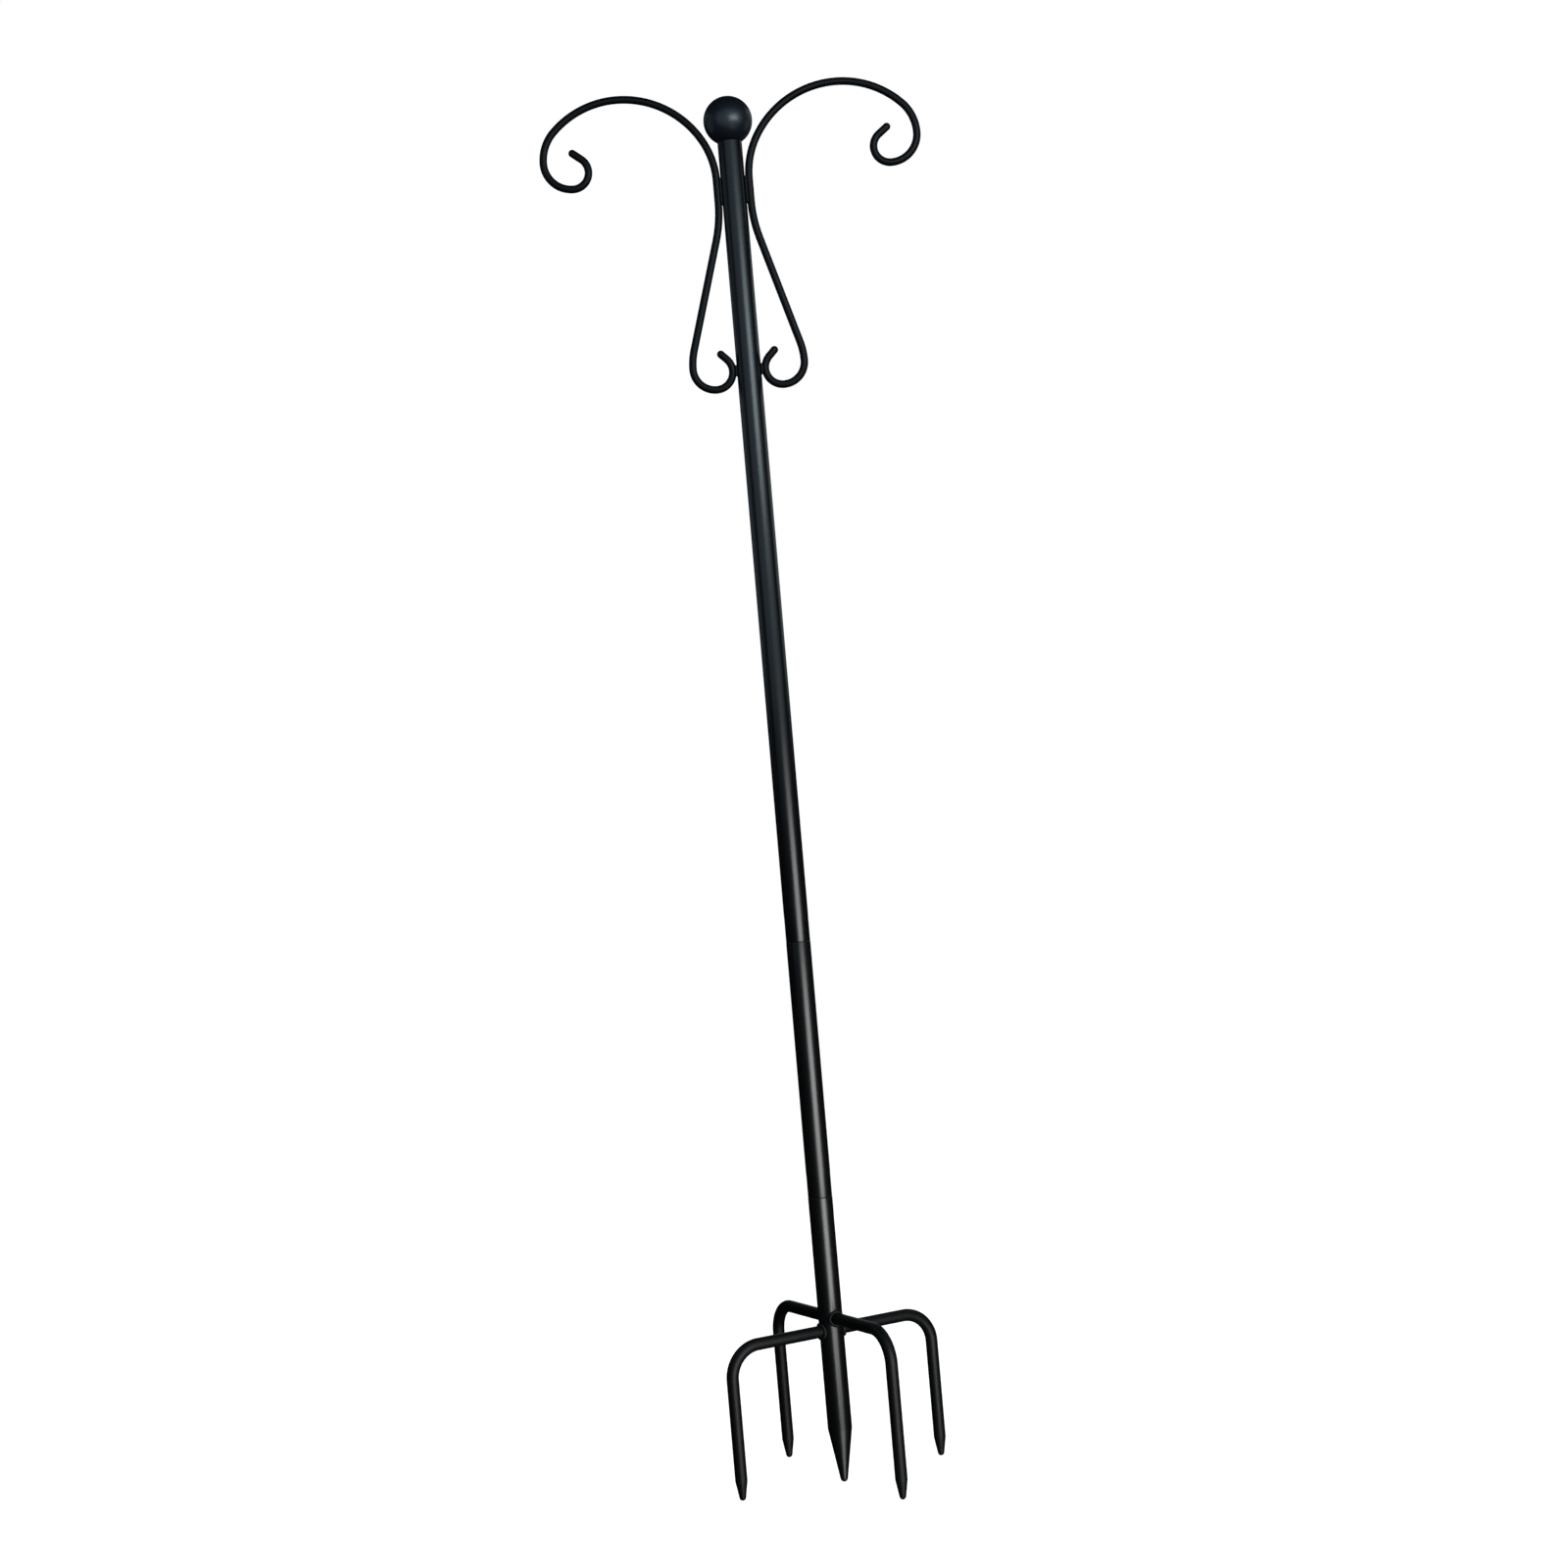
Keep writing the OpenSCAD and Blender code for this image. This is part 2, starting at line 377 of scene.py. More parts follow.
def apply_modifier(piece: Piece, kind: str, settings: dict[str, Any]) -> None:
    """Changes the active piece's mesh by a modifier.

    Args:
        piece: The active piece.
        kind: The modifier's type.
        settings: Its properties by name.
    """
    modifier = piece.modifiers.new(kind, kind)
    for key, value in settings.items():
        setattr(modifier, key, value)
    bpy.ops.object.modifier_apply(modifier=modifier.name)


class Bench:
    """A mesh worked on in edit mode, from its first ring of points to the finished piece."""

    def __init__(self, name: str, points: int) -> None:
        """Sets up the bench.

        Args:
            name: The name of the piece to be made.
            points: The points in each ring.
        """
        self.name = name
        self.points = points
        self.piece: Piece | None = None

    def ring(self, centre: Vector, radius: float, facing: Vector = UP) -> None:
        """Starts the mesh with one ring and leaves it selected in edit mode.

        Args:
            centre: The ring's centre.
            radius: Its radius.
            facing: The direction that the ring faces.
        """
        bpy.ops.object.select_all(action="DESELECT")
        tilt = UP.rotation_difference(facing).to_euler()
        bpy.ops.mesh.primitive_circle_add(
            vertices=self.points, radius=radius, fill_type="NOTHING", location=centre, rotation=tilt
        )
        self.piece = bpy.context.object
        self.piece.name = self.name
        bpy.ops.object.transform_apply()
        bpy.ops.object.mode_set(mode="EDIT")
        bpy.ops.mesh.select_all(action="SELECT")

    def extrude(self, step: Vector) -> None:
        """Draws the selected ring out by a step."""
        bpy.ops.mesh.extrude_region_move(TRANSFORM_OT_translate={"value": tuple(step)})

    def scale(self, factor: float, centre: Vector) -> None:
        """Scales what is selected about a centre."""
        if abs(factor - 1) > TINY:
            bpy.ops.transform.resize(value=(factor,) * 3, center_override=tuple(centre))

    def bend(self, centre: Vector, degrees: float, steps: int) -> None:
        """Spins the selected ring by the right-hand rule, about an axis along Y through a centre."""
        # The operator counts its angle the other way.
        bpy.ops.mesh.spin(
            steps=steps, angle=-math.radians(degrees), center=tuple(centre), axis=tuple(PLANE_NORMAL),
            use_auto_merge=False,
        )

    def pinch(self) -> None:
        """Closes the selected ring in one point."""
        bpy.ops.mesh.merge(type="CENTER")

    def pick_ring(self, index: int) -> None:
        """Selects one ring.

        Args:
            index: Its place in the order that rings were made.
        """
        mesh = bmesh.from_edit_mesh(self.piece.data)
        mesh.verts.ensure_lookup_table()
        chosen = range(index * self.points, (index + 1) * self.points)
        for vertex in mesh.verts:
            vertex.select = vertex.index in chosen
        mesh.select_mode = {"VERT"}
        mesh.select_flush(True)
        mesh.select_flush_mode()
        bmesh.update_edit_mesh(self.piece.data)

    def taper(self, start: Vector, along: Vector, outline: Outline) -> None:
        """Carries the selected ring along a line through rings of other radii.

        Args:
            start: The point on the line from which distances count.
            along: The unit direction of the line.
            outline: Pairs of radius and distance, the selected ring's own pair first. A last radius of 0
                closes the end in a point.
        """
        radius, distance = outline[0]
        for next_radius, next_distance in outline[1:]:
            self.extrude(along * (next_distance - distance))
            if next_radius == 0:
                self.pinch()
                return
            self.scale(next_radius / radius, start + along * next_distance)
            radius, distance = next_radius, next_distance

    def finish(self, edge: float = 0.0, smooth: float = 40.0) -> Piece:
        """Merges points that lie on each other, turns all faces outwards, rounds and shades the piece.

        Args:
            edge: The width of the rounding on sharp edges, or 0 for none.
            smooth: The angle in degrees up to which neighbouring faces shade as one.

        Returns:
            The finished piece.
        """
        bpy.ops.mesh.select_all(action="SELECT")
        bpy.ops.mesh.remove_doubles(threshold=MERGE_WITHIN)
        bpy.ops.mesh.normals_make_consistent(inside=False)
        bpy.ops.object.mode_set(mode="OBJECT")
        if edge:
            apply_modifier(self.piece, "BEVEL", {
                "width": edge, "segments": 2, "limit_method": "ANGLE", "angle_limit": CREASE,
            })
        bpy.ops.object.shade_smooth_by_angle(angle=math.radians(smooth))
        return self.piece


def turned(name: str, outline: Outline, edge: float = 0.0, points: int = 64) -> Piece:
    """A piece turned about the pole's axis.

    Args:
        name: The piece's name.
        outline: Pairs of radius and height round the section. A radius of 0 at an end is a pole, and an
            outline that starts and ends at the same pair is a closed ring.
        edge: The width of the rounding on sharp edges.
        points: The points in each ring.

    Returns:
        The piece.
    """
    bench = Bench(name, points)
    first = 1 if outline[0][0] == 0 else 0
    radius, height = outline[first]
    bench.ring(UP * height, radius)
    bench.taper(Vector(), UP, outline[first:])
    if first:
        bench.pick_ring(0)
        bench.taper(Vector(), UP, [outline[1], outline[0]])
    return bench.finish(edge)


def arc_outline(radius: float, centre: float, start: float, end: float, steps: int) -> Outline:
    """Pairs of radius and height along a circle centred on the axis.

    Args:
        radius: The circle's radius.
        centre: The height of its centre.
        start: The first latitude in degrees, from -90 at the bottom to 90 at the top.
        end: The last latitude.
        steps: The number of stretches.

    Returns:
        The pairs, with a radius of exactly 0 at a pole.
    """
    pairs = []
    for index in range(steps + 1):
        latitude = math.radians(start + (end - start) * index / steps)
        across = radius * math.cos(latitude)
        pairs.append((across if across > TINY else 0.0, centre + radius * math.sin(latitude)))
    return pairs


def pick(*pieces: Piece) -> None:
    """Selects pieces and nothing else.

    Args:
        pieces: The pieces, of which the first becomes the active one.
    """
    bpy.ops.object.select_all(action="DESELECT")
    for piece in pieces:
        piece.select_set(True)
    bpy.context.view_layer.objects.active = pieces[0]


def join(pieces: Sequence[Piece], name: str) -> Piece:
    """Joins objects in one piece.

    Args:
        pieces: The objects, two or more.
        name: The joined piece's name.

    Returns:
        The piece.
    """
    pick(*pieces)
    bpy.ops.object.join()
    pieces[0].name = name
    return pieces[0]


def placed_copy(piece: Piece, name: str, turn: float, lift: float = 0.0) -> Piece:
    """A copy with its own mesh, turned about the pole's axis and lifted.

    Args:
        piece: The object that is copied.
        name: The copy's name.
        turn: The turn in degrees.
        lift: The rise along Z.

    Returns:
        The copy.
    """
    made = piece.copy()
    made.data = piece.data.copy()
    made.name = name
    bpy.context.collection.objects.link(made)
    made.data.transform(Matrix.Translation((0, 0, lift)) @ Matrix.Rotation(math.radians(turn), 4, "Z"))
    return made


def settle(piece: Piece, body: Body, look: Look, node: str) -> None:
    """Puts a finished piece on its body in place of its CAD node.

    Args:
        piece: The finished piece.
        body: The body that it rides on.
        look: The finish.
        node: The CAD node that it stands for.
    """
    piece.data.materials.clear()
    piece.data.materials.append(COATS[look])
    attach(piece, body.value)
    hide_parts(node)
    log.info("%s rides on %s: %d faces", piece.name, body.value, len(piece.data.polygons))


# ---- bent rod


@dataclass(frozen=True)
class Straight:
    """A straight stretch of rod, by its length."""

    length: float


@dataclass(frozen=True)
class Bend:
    """An arc of rod: outwards where the turn in degrees is positive, and back where it is negative."""

    radius: float
    turn: float


@dataclass
class Rod:
    """Round rod that is swept in the XZ plane, from a selected ring to a rounded or pointed end.

    Attributes:
        bench: The bench that holds the mesh.
        radius: The rod's radius.
        place: The centre of the selected ring.
        heading: The unit direction in which the rod goes on.
        outwards: 1 where an outward bend turns by the right-hand rule about +Y, or -1.
    """

    bench: Bench
    radius: float
    place: Vector
    heading: Vector
    outwards: int = 1

    DEGREES_A_RING = 3.0

    def run(self, steps: Sequence[Straight | Bend]) -> None:
        """Sweeps the ring through straights and bends.

        Args:
            steps: The straights and bends in order.
        """
        for step in steps:
            if isinstance(step, Straight):
                self.bench.extrude(self.heading * step.length)
                self.place = self.place + self.heading * step.length
            else:
                self.bend(step)

    def bend(self, step: Bend) -> None:
        """Sweeps the ring round one bend.

        Args:
            step: The bend.
        """
        turn = step.turn * self.outwards
        towards = PLANE_NORMAL.cross(self.heading) * math.copysign(1, turn)
        centre = self.place + towards * step.radius
        rotation = Matrix.Rotation(math.radians(turn), 3, PLANE_NORMAL)
        self.bench.bend(centre, turn, max(2, math.ceil(abs(turn) / self.DEGREES_A_RING)))
        self.place = centre + rotation @ (self.place - centre)
        self.heading = rotation @ self.heading

    def round_end(self, steps: int = 7) -> None:
        """Closes the rod in a half ball, drawn in a number of steps."""
        self.bench.taper(self.place, self.heading, arc_outline(self.radius, 0.0, 0.0, 90.0, steps))

    def point_end(self, length: float, nose: float) -> None:
        """Closes the rod in a point of the given length, whose nose has the given radius."""
        self.bench.taper(self.place, self.heading, blunt_outline(self.radius, length, nose))


def blunt_outline(radius: float, length: float, nose: float, rings: int = 6) -> Outline:
    """The outline of a cone that ends in a round nose.

    Args:
        radius: The cone's radius at its base.
        length: The length from the base to the tip.
        nose: The nose's radius.
        rings: The number of stretches along the cone, and again along the nose.

    Returns:
        Pairs of radius and distance from the base, down to a radius of 0.
    """
    centre = length - nose
    slope = math.atan2(radius, centre) - math.asin(nose / math.hypot(radius, centre))
    touch = (nose * math.cos(slope), centre + nose * math.sin(slope))
    cone = [
        (radius + (touch[0] - radius) * index / rings, touch[1] * index / rings) for index in range(rings)
    ]
    return cone + arc_outline(nose, centre, math.degrees(slope), 90.0, rings)


# ---- weld beads


@dataclass(frozen=True)
class WeldBead:
    """A bead laid in overlapping pools, which leaves a ripple at each.

    Attributes:
        pool: The distance from one ripple to the next.
        dip: The depth between two ripples, as a share of the bead's radius.
        rings: The rings of points in each ripple.
        straight_points: The points in each ring of a straight bead.
        collar_points: The points in each ring of a collar.
        stand_off: How far a collar's middle is from the tube and the bar, as a share of the bead's radius.
        smooth: The angle in degrees up to which neighbouring faces shade as one.
    """

    pool: float = 1.45 * MM
    dip: float = 0.17
    rings: int = 5
    straight_points: int = 20
    collar_points: int = 14
    stand_off: float = 0.3
    smooth: float = 75.0

    def ripple(self, phase: float) -> float:
        """The share of the full radius at a phase from 0 to 1 of one pool."""
        return 1 - self.dip * (2 * phase - 1) ** 2

    def straight(self, name: str, middle: Vector, length: float, radius: float) -> Piece:
        """A bead along Z with rounded ends.

        Args:
            name: The object's name.
            middle: Its centre.
            length: Its whole length.
            radius: Its full radius.

        Returns:
            The bead.
        """
        pools = max(3, round(length / self.pool))
        count = pools * self.rings
        start = middle - UP * (length / 2)
        outline = []
        for index in range(1, count):
            share = index / count
            from_end = min(share, 1 - share) * length
            cap = math.sqrt(1 - (1 - min(1.0, from_end / radius)) ** 2)
            outline.append((radius * cap * self.ripple(share * pools % 1.0), share * length))
        bench = Bench(name, self.straight_points)
        bench.ring(start + UP * outline[0][1], outline[0][0])
        bench.taper(start, UP, [*outline, (0.0, length)])
        bench.pick_ring(0)
        bench.taper(start, UP, [outline[0], (0.0, 0.0)])
        return bench.finish(smooth=self.smooth)

    def collar(self, name: str, tube_radius: float, bar_radius: float, radius: float) -> Piece:
        """A bead round a bar along +X where the bar leaves a tube on the Z axis.

        Args:
            name: The object's name.
            tube_radius: The tube's radius.
            bar_radius: The bar's radius.
            radius: The bead's full radius.

        Returns:
            The bead, centred on the bar at z = 0.
        """
        seam_radius = bar_radius + self.stand_off * radius
        pools = round(2 * math.pi * seam_radius / self.pool)
        segments = pools * self.rings
        bpy.ops.object.select_all(action="DESELECT")
        bpy.ops.mesh.primitive_torus_add(
            major_segments=segments, minor_segments=self.collar_points,
            major_radius=seam_radius, minor_radius=radius, rotation=(0, QUARTER, 0),
        )
        bench = Bench(name, self.collar_points)
        bench.piece = bpy.context.object
        bench.piece.name = name
        bpy.ops.object.transform_apply()
        bpy.ops.object.mode_set(mode="EDIT")
        for index in range(segments):
            angle = 2 * math.pi * index / segments
            sideways, height = seam_radius * math.sin(angle), -seam_radius * math.cos(angle)
            out = math.sqrt(tube_radius**2 - sideways**2) + self.stand_off * radius
            bench.pick_ring(index)
            bpy.ops.transform.translate(value=(out, 0, 0))
            bench.scale(self.ripple(index / self.rings % 1.0), Vector((out, sideways, height)))
        return bench.finish(smooth=self.smooth)


# ---- sub-assemblies


@dataclass(frozen=True)
class Bar:
    """The level middle of a prong rod, which passes through the stake tube.

    Attributes:
        name: Which rod, lower or upper.
        turn: Its turn about the pole in degrees.
        height: The height of its axis.
        radius: Its radius.
    """

    name: str
    turn: float
    height: float
    radius: float


@dataclass
class GroundBase:
    """The stake tube with its solid point, and the two crossed prong rods welded into it.

    Attributes:
        point_nose: The rounding of the stake's tip.
        point_rings: The rings along the stake's point, and again along its tip.
        grip: The length of the point's spigot inside the tube.
        bend: The bend radius of the prong rods.
        point: The length of a prong's point.
        nose: The rounding of a prong's tip.
        turn: The turn of the lower bar from the hooks, in degrees.
        bead: The full radius of the weld beads.
        hole_gap: The gap round a bar in the tube's wall.
        hole_points: The points round such a hole.
        rod_points: The points round a prong rod.
    """

    point_nose: float = 4 * MM
    point_rings: int = 10
    grip: float = 30 * MM
    bend: float = 32 * MM
    point: float = 20 * MM
    nose: float = 3.5 * MM
    turn: float = 28.5
    bead: float = 2.1 * MM
    hole_gap: float = 0.15 * MM
    hole_points: int = 48
    rod_points: int = 40

    def __post_init__(self) -> None:
        """Finds the bars from their rods and welds."""
        self.bars = []
        for name, turn in (("lower", self.turn), ("upper", self.turn - 90)):
            low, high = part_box(f"{name}_left_weld")
            height = (low.z + high.z) / 2
            self.bars.append(Bar(name, turn, height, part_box(f"{name}_prong_rod")[1].z - height))

    def build(self) -> None:
        """Builds and places all the pieces of the base."""
        self.stake()
        for bar in self.bars:
            self.prong_rod(bar)
        self.welds()

    def stake(self) -> None:
        """The open tube that goes into the ground, and the solid point in its end."""
        low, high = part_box("stake_tube")
        outer, inner = high.x, high.x - TUBE_WALL
        section = [
            (inner, low.z), (outer, low.z), (outer, high.z - TUBE_RIM), (outer - TUBE_RIM, high.z),
            (inner, high.z), (inner, low.z),
        ]
        tube = turned("stake_tube_coated", section, TUBE_EDGE)
        for bar in self.bars:
            self.pierce(tube, bar)
        settle(tube, Body.BASE, Look.TUBE, "stake_tube")
        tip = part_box("stake_point")[0].z
        taper = [
            (radius, low.z - distance)
            for radius, distance in blunt_outline(outer, low.z - tip, self.point_nose, self.point_rings)
        ]
        plug = [(0.0, low.z + self.grip), (inner, low.z + self.grip), (inner, low.z)]
        point = turned("stake_point_ground", [*plug, *taper])
        settle(point, Body.BASE, Look.TUBE, "stake_point")

    def pierce(self, tube: Piece, bar: Bar) -> None:
        """Cuts the holes that a bar passes through.

        Args:
            tube: The stake tube.
            bar: The bar.
        """
        bpy.ops.object.select_all(action="DESELECT")
        bpy.ops.mesh.primitive_cylinder_add(
            vertices=self.hole_points, radius=bar.radius + self.hole_gap, depth=3 * tube.dimensions.x,
            location=(0, 0, bar.height), rotation=(0, QUARTER, math.radians(bar.turn)),
        )
        drill = bpy.context.object
        pick(tube)
        apply_modifier(tube, "BOOLEAN", {"operation": "DIFFERENCE", "object": drill})
        bpy.ops.object.shade_smooth_by_angle(angle=CREASE)
        bpy.data.objects.remove(drill)

    def prong_rod(self, bar: Bar) -> None:
        """One rod with a bar through the tube and a pointed leg at each end.

        Args:
            bar: The rod's bar.
        """
        node = f"{bar.name}_prong_rod"
        low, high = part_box(node)
        reach = math.hypot(high.x - bar.radius, high.y - bar.radius)
        bench = Bench(f"{bar.name}_prong_bent", self.rod_points)
        middle = Vector((0, 0, bar.height))
        bench.ring(middle, bar.radius, Vector((1, 0, 0)))
        for way in (1, -1):
            bench.pick_ring(0)
            rod = Rod(bench, bar.radius, middle, Vector((way, 0, 0)), way)
            rod.run([Straight(reach - self.bend), Bend(self.bend, 90)])
            rod.run([Straight(rod.place.z - low.z - self.point)])
            rod.point_end(self.point, self.nose)
        piece = bench.finish()
        piece.data.transform(Matrix.Rotation(math.radians(bar.turn), 4, "Z"))
        settle(piece, Body.BASE, Look.ROD, node)

    def welds(self) -> None:
        """The rippled collars where the prong bars leave the tube."""
        tube_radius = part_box("stake_tube")[1].x
        master = WeldBead().collar("collar_master", tube_radius, self.bars[0].radius, self.bead)
        for bar in self.bars:
            for side in Side:
                end = f"{bar.name}_{side.name.lower()}"
                made = placed_copy(master, f"{end}_collar", bar.turn + side.value, bar.height)
                settle(made, Body.BASE, Look.BEAD, f"{end}_weld")
        bpy.data.objects.remove(master)


@dataclass
class PoleTube:
    """A tube whose lower end is drawn in to a band that grips the connector below it.

    Attributes:
        node: The tube's CAD node.
        body: The body that it rides on.
        band: The length of the drawn-in band, with the slope at its top.
        draw: How far the band is drawn in.
        ramp: The length of the slope.
    """

    node: str
    body: Body
    band: float = 27 * MM
    draw: float = 0.15 * MM
    ramp: float = 3 * MM

    def build(self) -> None:
        """Builds and places the tube."""
        low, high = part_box(self.node)
        outer, inner = high.x, high.x - TUBE_WALL
        band_outer, band_inner = outer - self.draw, inner - self.draw
        band_top = low.z + self.band
        slope = band_top - self.ramp
        section = [
            (band_inner, low.z), (band_outer - TUBE_RIM, low.z), (band_outer, low.z + TUBE_RIM),
            (band_outer, slope), (outer, band_top), (outer, high.z - TUBE_RIM), (outer - TUBE_RIM, high.z),
            (inner, high.z), (inner, band_top), (band_inner, slope), (band_inner, low.z),
        ]
        tube = turned(f"{self.node}_coated", section, TUBE_EDGE)
        settle(tube, self.body, Look.TUBE, self.node)


@dataclass
class TubeJoint:
    """A zinc-plated sleeve: a spigot below the seam, a neck, and a head that keeps it in the tube above.

    Attributes:
        node: The connector's CAD node.
        body: The body that it rides on.
        seam: The height of the seam above the connector's lower end.
        seam_gap: How far below the seam the spigot ends.
        neck_in: How far the neck is set in from the spigot.
        head: The length of the head.
        head_out: How far the head stands out from the spigot.
        head_ramp: The length of the slope from the neck out to the head.
        chamfer: The chamfer at each end.
        wall: The wall at the neck.
    """

    node: str
    body: Body
    seam: float = 40 * MM
    seam_gap: float = 0.3 * MM
    neck_in: float = 0.12 * MM
    head: float = 14 * MM
    head_out: float = 0.03 * MM
    head_ramp: float = 3.3 * MM
    chamfer: float = 0.4 * MM
    wall: float = 1.6 * MM

    def build(self) -> None:
        """Builds and places the connector."""
        low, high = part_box(self.node)
        head_radius = high.x
        spigot = head_radius - self.head_out
        neck = spigot - self.neck_in
        bore = neck - self.wall
        shoulder = low.z + self.seam - self.seam_gap
        head_low = high.z - self.head
        section = [
            (bore, low.z), (spigot - self.chamfer, low.z), (spigot, low.z + self.chamfer),
            (spigot, shoulder), (neck, shoulder), (neck, head_low - self.head_ramp),
            (head_radius, head_low), (head_radius, high.z - self.chamfer),
            (head_radius - self.chamfer, high.z), (bore, high.z), (bore, low.z),
        ]
        settle(turned(f"{self.node}_plated", section), self.body, Look.ZINC, self.node)


@dataclass
class ScrollHooks:
    """The two hook rods and the beads that hold them to the head tube.

    Attributes:
        radius: The rod's radius.
        points: The points round the rod.
        gap: The gap between rod and tube that the welds fill.
        waist_drop: The distance from the tube's rim down to the top of the waist.
        waist: The length of the straight waist.
        hook: The run from the waist up to the hook's tip.
        scroll_bends: The first bend, the return bend and the foot of the lower scroll.
        scroll_curl: The curl that comes back to the tube.
        scroll_past: The turn past the tube, in degrees.
        scroll_tip: The length of the lower scroll's straight tip.
        bead: The full radius of a weld bead.
        bite: How far a bead runs into the tube and the rod.
        waist_overrun: How much longer the waist's beads are than the waist.
        scroll_bead: The length of the beads at the lower scroll.
    """

    radius: float = 4 * MM
    points: int = 36
    gap: float = 0.3 * MM
    waist_drop: float = 39 * MM
    waist: float = 23 * MM
    hook: tuple[Straight | Bend, ...] = (
        Bend(86 * MM, 30), Bend(99 * MM, 60), Bend(95 * MM, 45), Bend(45 * MM, 45),
        Bend(29 * MM, 90), Bend(17 * MM, 142), Straight(11 * MM),
    )
    scroll_bends: tuple[Bend, Bend, Bend] = (
        Bend(140 * MM, 16.3), Bend(70 * MM, -16.3), Bend(23 * MM, -90),
    )
    scroll_curl: float = 18 * MM
    scroll_past: float = 45.0
    scroll_tip: float = 8 * MM
    bead: float = 1.8 * MM
    bite: float = 0.8 * MM
    waist_overrun: float = 5 * MM
    scroll_bead: float = 11 * MM

    def __post_init__(self) -> None:
        """Finds the places that follow from the tube."""
        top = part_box("head_tube")[1]
        self.tube_radius = top.x
        self.axis_x = top.x + self.gap + self.radius
        self.waist_top = top.z - self.waist_drop
        self.waist_bottom = self.waist_top - self.waist

    def scroll(self) -> list[Straight | Bend]:
        """The run from the waist down to the lower scroll's tip.

        Returns:
            The steps, with the long straight just as long as brings the curl back to the tube.
        """
        sweep, back, foot = self.scroll_bends
        lean = math.radians(sweep.turn)
        out = foot.radius + self.scroll_curl - (sweep.radius + back.radius) * (1 - math.cos(lean))
        long_straight = Straight(out / math.sin(lean))
        curl = Bend(self.scroll_curl, -90 - self.scroll_past)
        return [sweep, long_straight, back, foot, curl, Straight(self.scroll_tip)]

    def scroll_touch(self) -> float:
        """The height at which the lower scroll meets the tube.

        Returns:
            The height.
        """
        sweep, back, foot = self.scroll_bends
        lean = math.radians(sweep.turn)
        straight = self.scroll()[1].length
        drop = (sweep.radius + back.radius) * math.sin(lean) + straight * math.cos(lean) + foot.radius
        return self.waist_bottom - drop + self.scroll_curl

    def rod(self) -> Piece:
        """The rod, swept up and then down from its waist.

        Returns:
            The rod.
        """
        bench = Bench("scroll_rod", self.points)
        start = Vector((self.axis_x, 0, self.waist_top))
        bench.ring(start, self.radius)
        upper = Rod(bench, self.radius, start, UP.copy())
        upper.run(self.hook)
        upper.round_end()
        bench.pick_ring(0)
        lower = Rod(bench, self.radius, start, -UP, -1)
        lower.run([Straight(self.waist), *self.scroll()])
        lower.round_end()
        return bench.finish()

    def bead_pair(self, name: str, height: float, length: float) -> Piece:
        """Beads in front of and behind the groove between the rod and the tube.

        Args:
            name: The piece's name.
            height: The height of the beads' middle.
            length: Their length.

        Returns:
            The two beads in one piece.
        """
        to_pole = self.tube_radius + self.bead - self.bite
        to_rod = self.radius + self.bead - self.bite
        across = (to_pole**2 - to_rod**2 + self.axis_x**2) / (2 * self.axis_x)
        depth = math.sqrt(to_pole**2 - across**2)
        beads = [
            WeldBead().straight(name, Vector((across, side * depth, height)), length, self.bead)
            for side in (-1, 1)
        ]
        return join(beads, name)

    def build(self) -> None:
        """Builds each piece once and places a copy on each side."""
        waist_middle = (self.waist_top + self.waist_bottom) / 2
        masters = {
            "arm": self.rod(),
            "waist_weld": self.bead_pair("waist_beads", waist_middle, self.waist + self.waist_overrun),
            "scroll_weld": self.bead_pair("scroll_beads", self.scroll_touch(), self.scroll_bead),
        }
        for node, master in masters.items():
            slot, look = (Slot.POWDER, Look.ROD) if node == "arm" else (Slot.WELD, Look.BEAD)
            for side in Side:
                hand = side.name.lower()
                made = placed_copy(master, f"{hand}_{master.name}", side.value)
                settle(made, Body.HEAD, look, f"{hand}_{node}")
            bpy.data.objects.remove(master)


